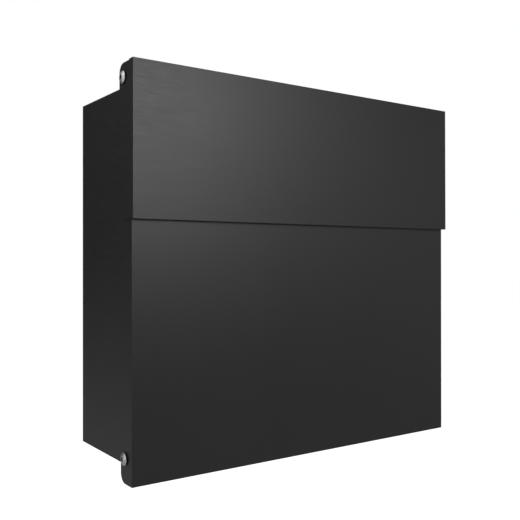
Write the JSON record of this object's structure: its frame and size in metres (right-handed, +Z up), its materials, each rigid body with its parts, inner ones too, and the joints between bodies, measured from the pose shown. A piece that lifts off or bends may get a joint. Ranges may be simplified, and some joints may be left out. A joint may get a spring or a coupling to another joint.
{
  "type": "wall mailbox",
  "caption": "Wall-mounted sheet-steel mailbox with a lift-up mail flap, a fold-down locking front door and screws at its pivots.",
  "frame": {"origin": "the centre of the back panel's rear face, which rests on the wall", "axes": "+X across the front, to the right as seen from the front; +Y into the wall; +Z up; the front faces -Y"},
  "size_m": [0.3934, 0.1194, 0.3615],
  "materials": {
    "black_powder_coat": "satin black powder coat with a very fine texture",
    "stainless_steel": "bright turned button head",
    "zinc_plate": "dull bright zinc plating",
    "chrome_plate": "polished plating",
    "black_nylon": "moulded, matt",
    "black_rubber": "soft and matt"
  },
  "bodies": {
    "housing": {"back_panel": "black_powder_coat", "left_wall": "black_powder_coat", "right_wall": "black_powder_coat", "roof_panel": "black_powder_coat", "floor_panel": "black_powder_coat", "door_screw_left": "stainless_steel", "door_screw_right": "stainless_steel", "door_nut_left": "zinc_plate", "door_nut_right": "zinc_plate", "door_bumper_left": "black_rubber", "door_bumper_right": "black_rubber"},
    "door": {"door_panel": "black_powder_coat", "door_bushing_left": "black_nylon", "door_bushing_right": "black_nylon", "flap_screw_left": "stainless_steel", "flap_screw_right": "stainless_steel", "flap_nut_left": "zinc_plate", "flap_nut_right": "zinc_plate", "lock_barrel": "chrome_plate", "lock_nut": "zinc_plate", "flap_bumper_left": "black_rubber", "flap_bumper_right": "black_rubber"},
    "flap": {"flap_panel": "black_powder_coat", "flap_bushing_left": "black_nylon", "flap_bushing_right": "black_nylon"},
    "lock_core": {"lock_plug": "chrome_plate", "lock_cam": "zinc_plate", "lock_cam_screw": "zinc_plate"}
  },
  "joints": [
    {"name": "door_hinge", "type": "hinge", "parent": "housing", "child": "door", "pos_m": [0, -0.1006, -0.1569], "axis": [1, 0, 0], "range_deg": [0, 90]},
    {"name": "flap_hinge", "type": "hinge", "parent": "door", "child": "flap", "pos_m": [0, -0.1006, 0.1697], "axis": [-1, 0, 0], "range_deg": [0, 110]},
    {"name": "lock_turn", "type": "hinge", "parent": "door", "child": "lock_core", "pos_m": [0, -0.1143, 0.137], "axis": [0, -1, 0], "range_deg": [0, 90]}
  ]
}
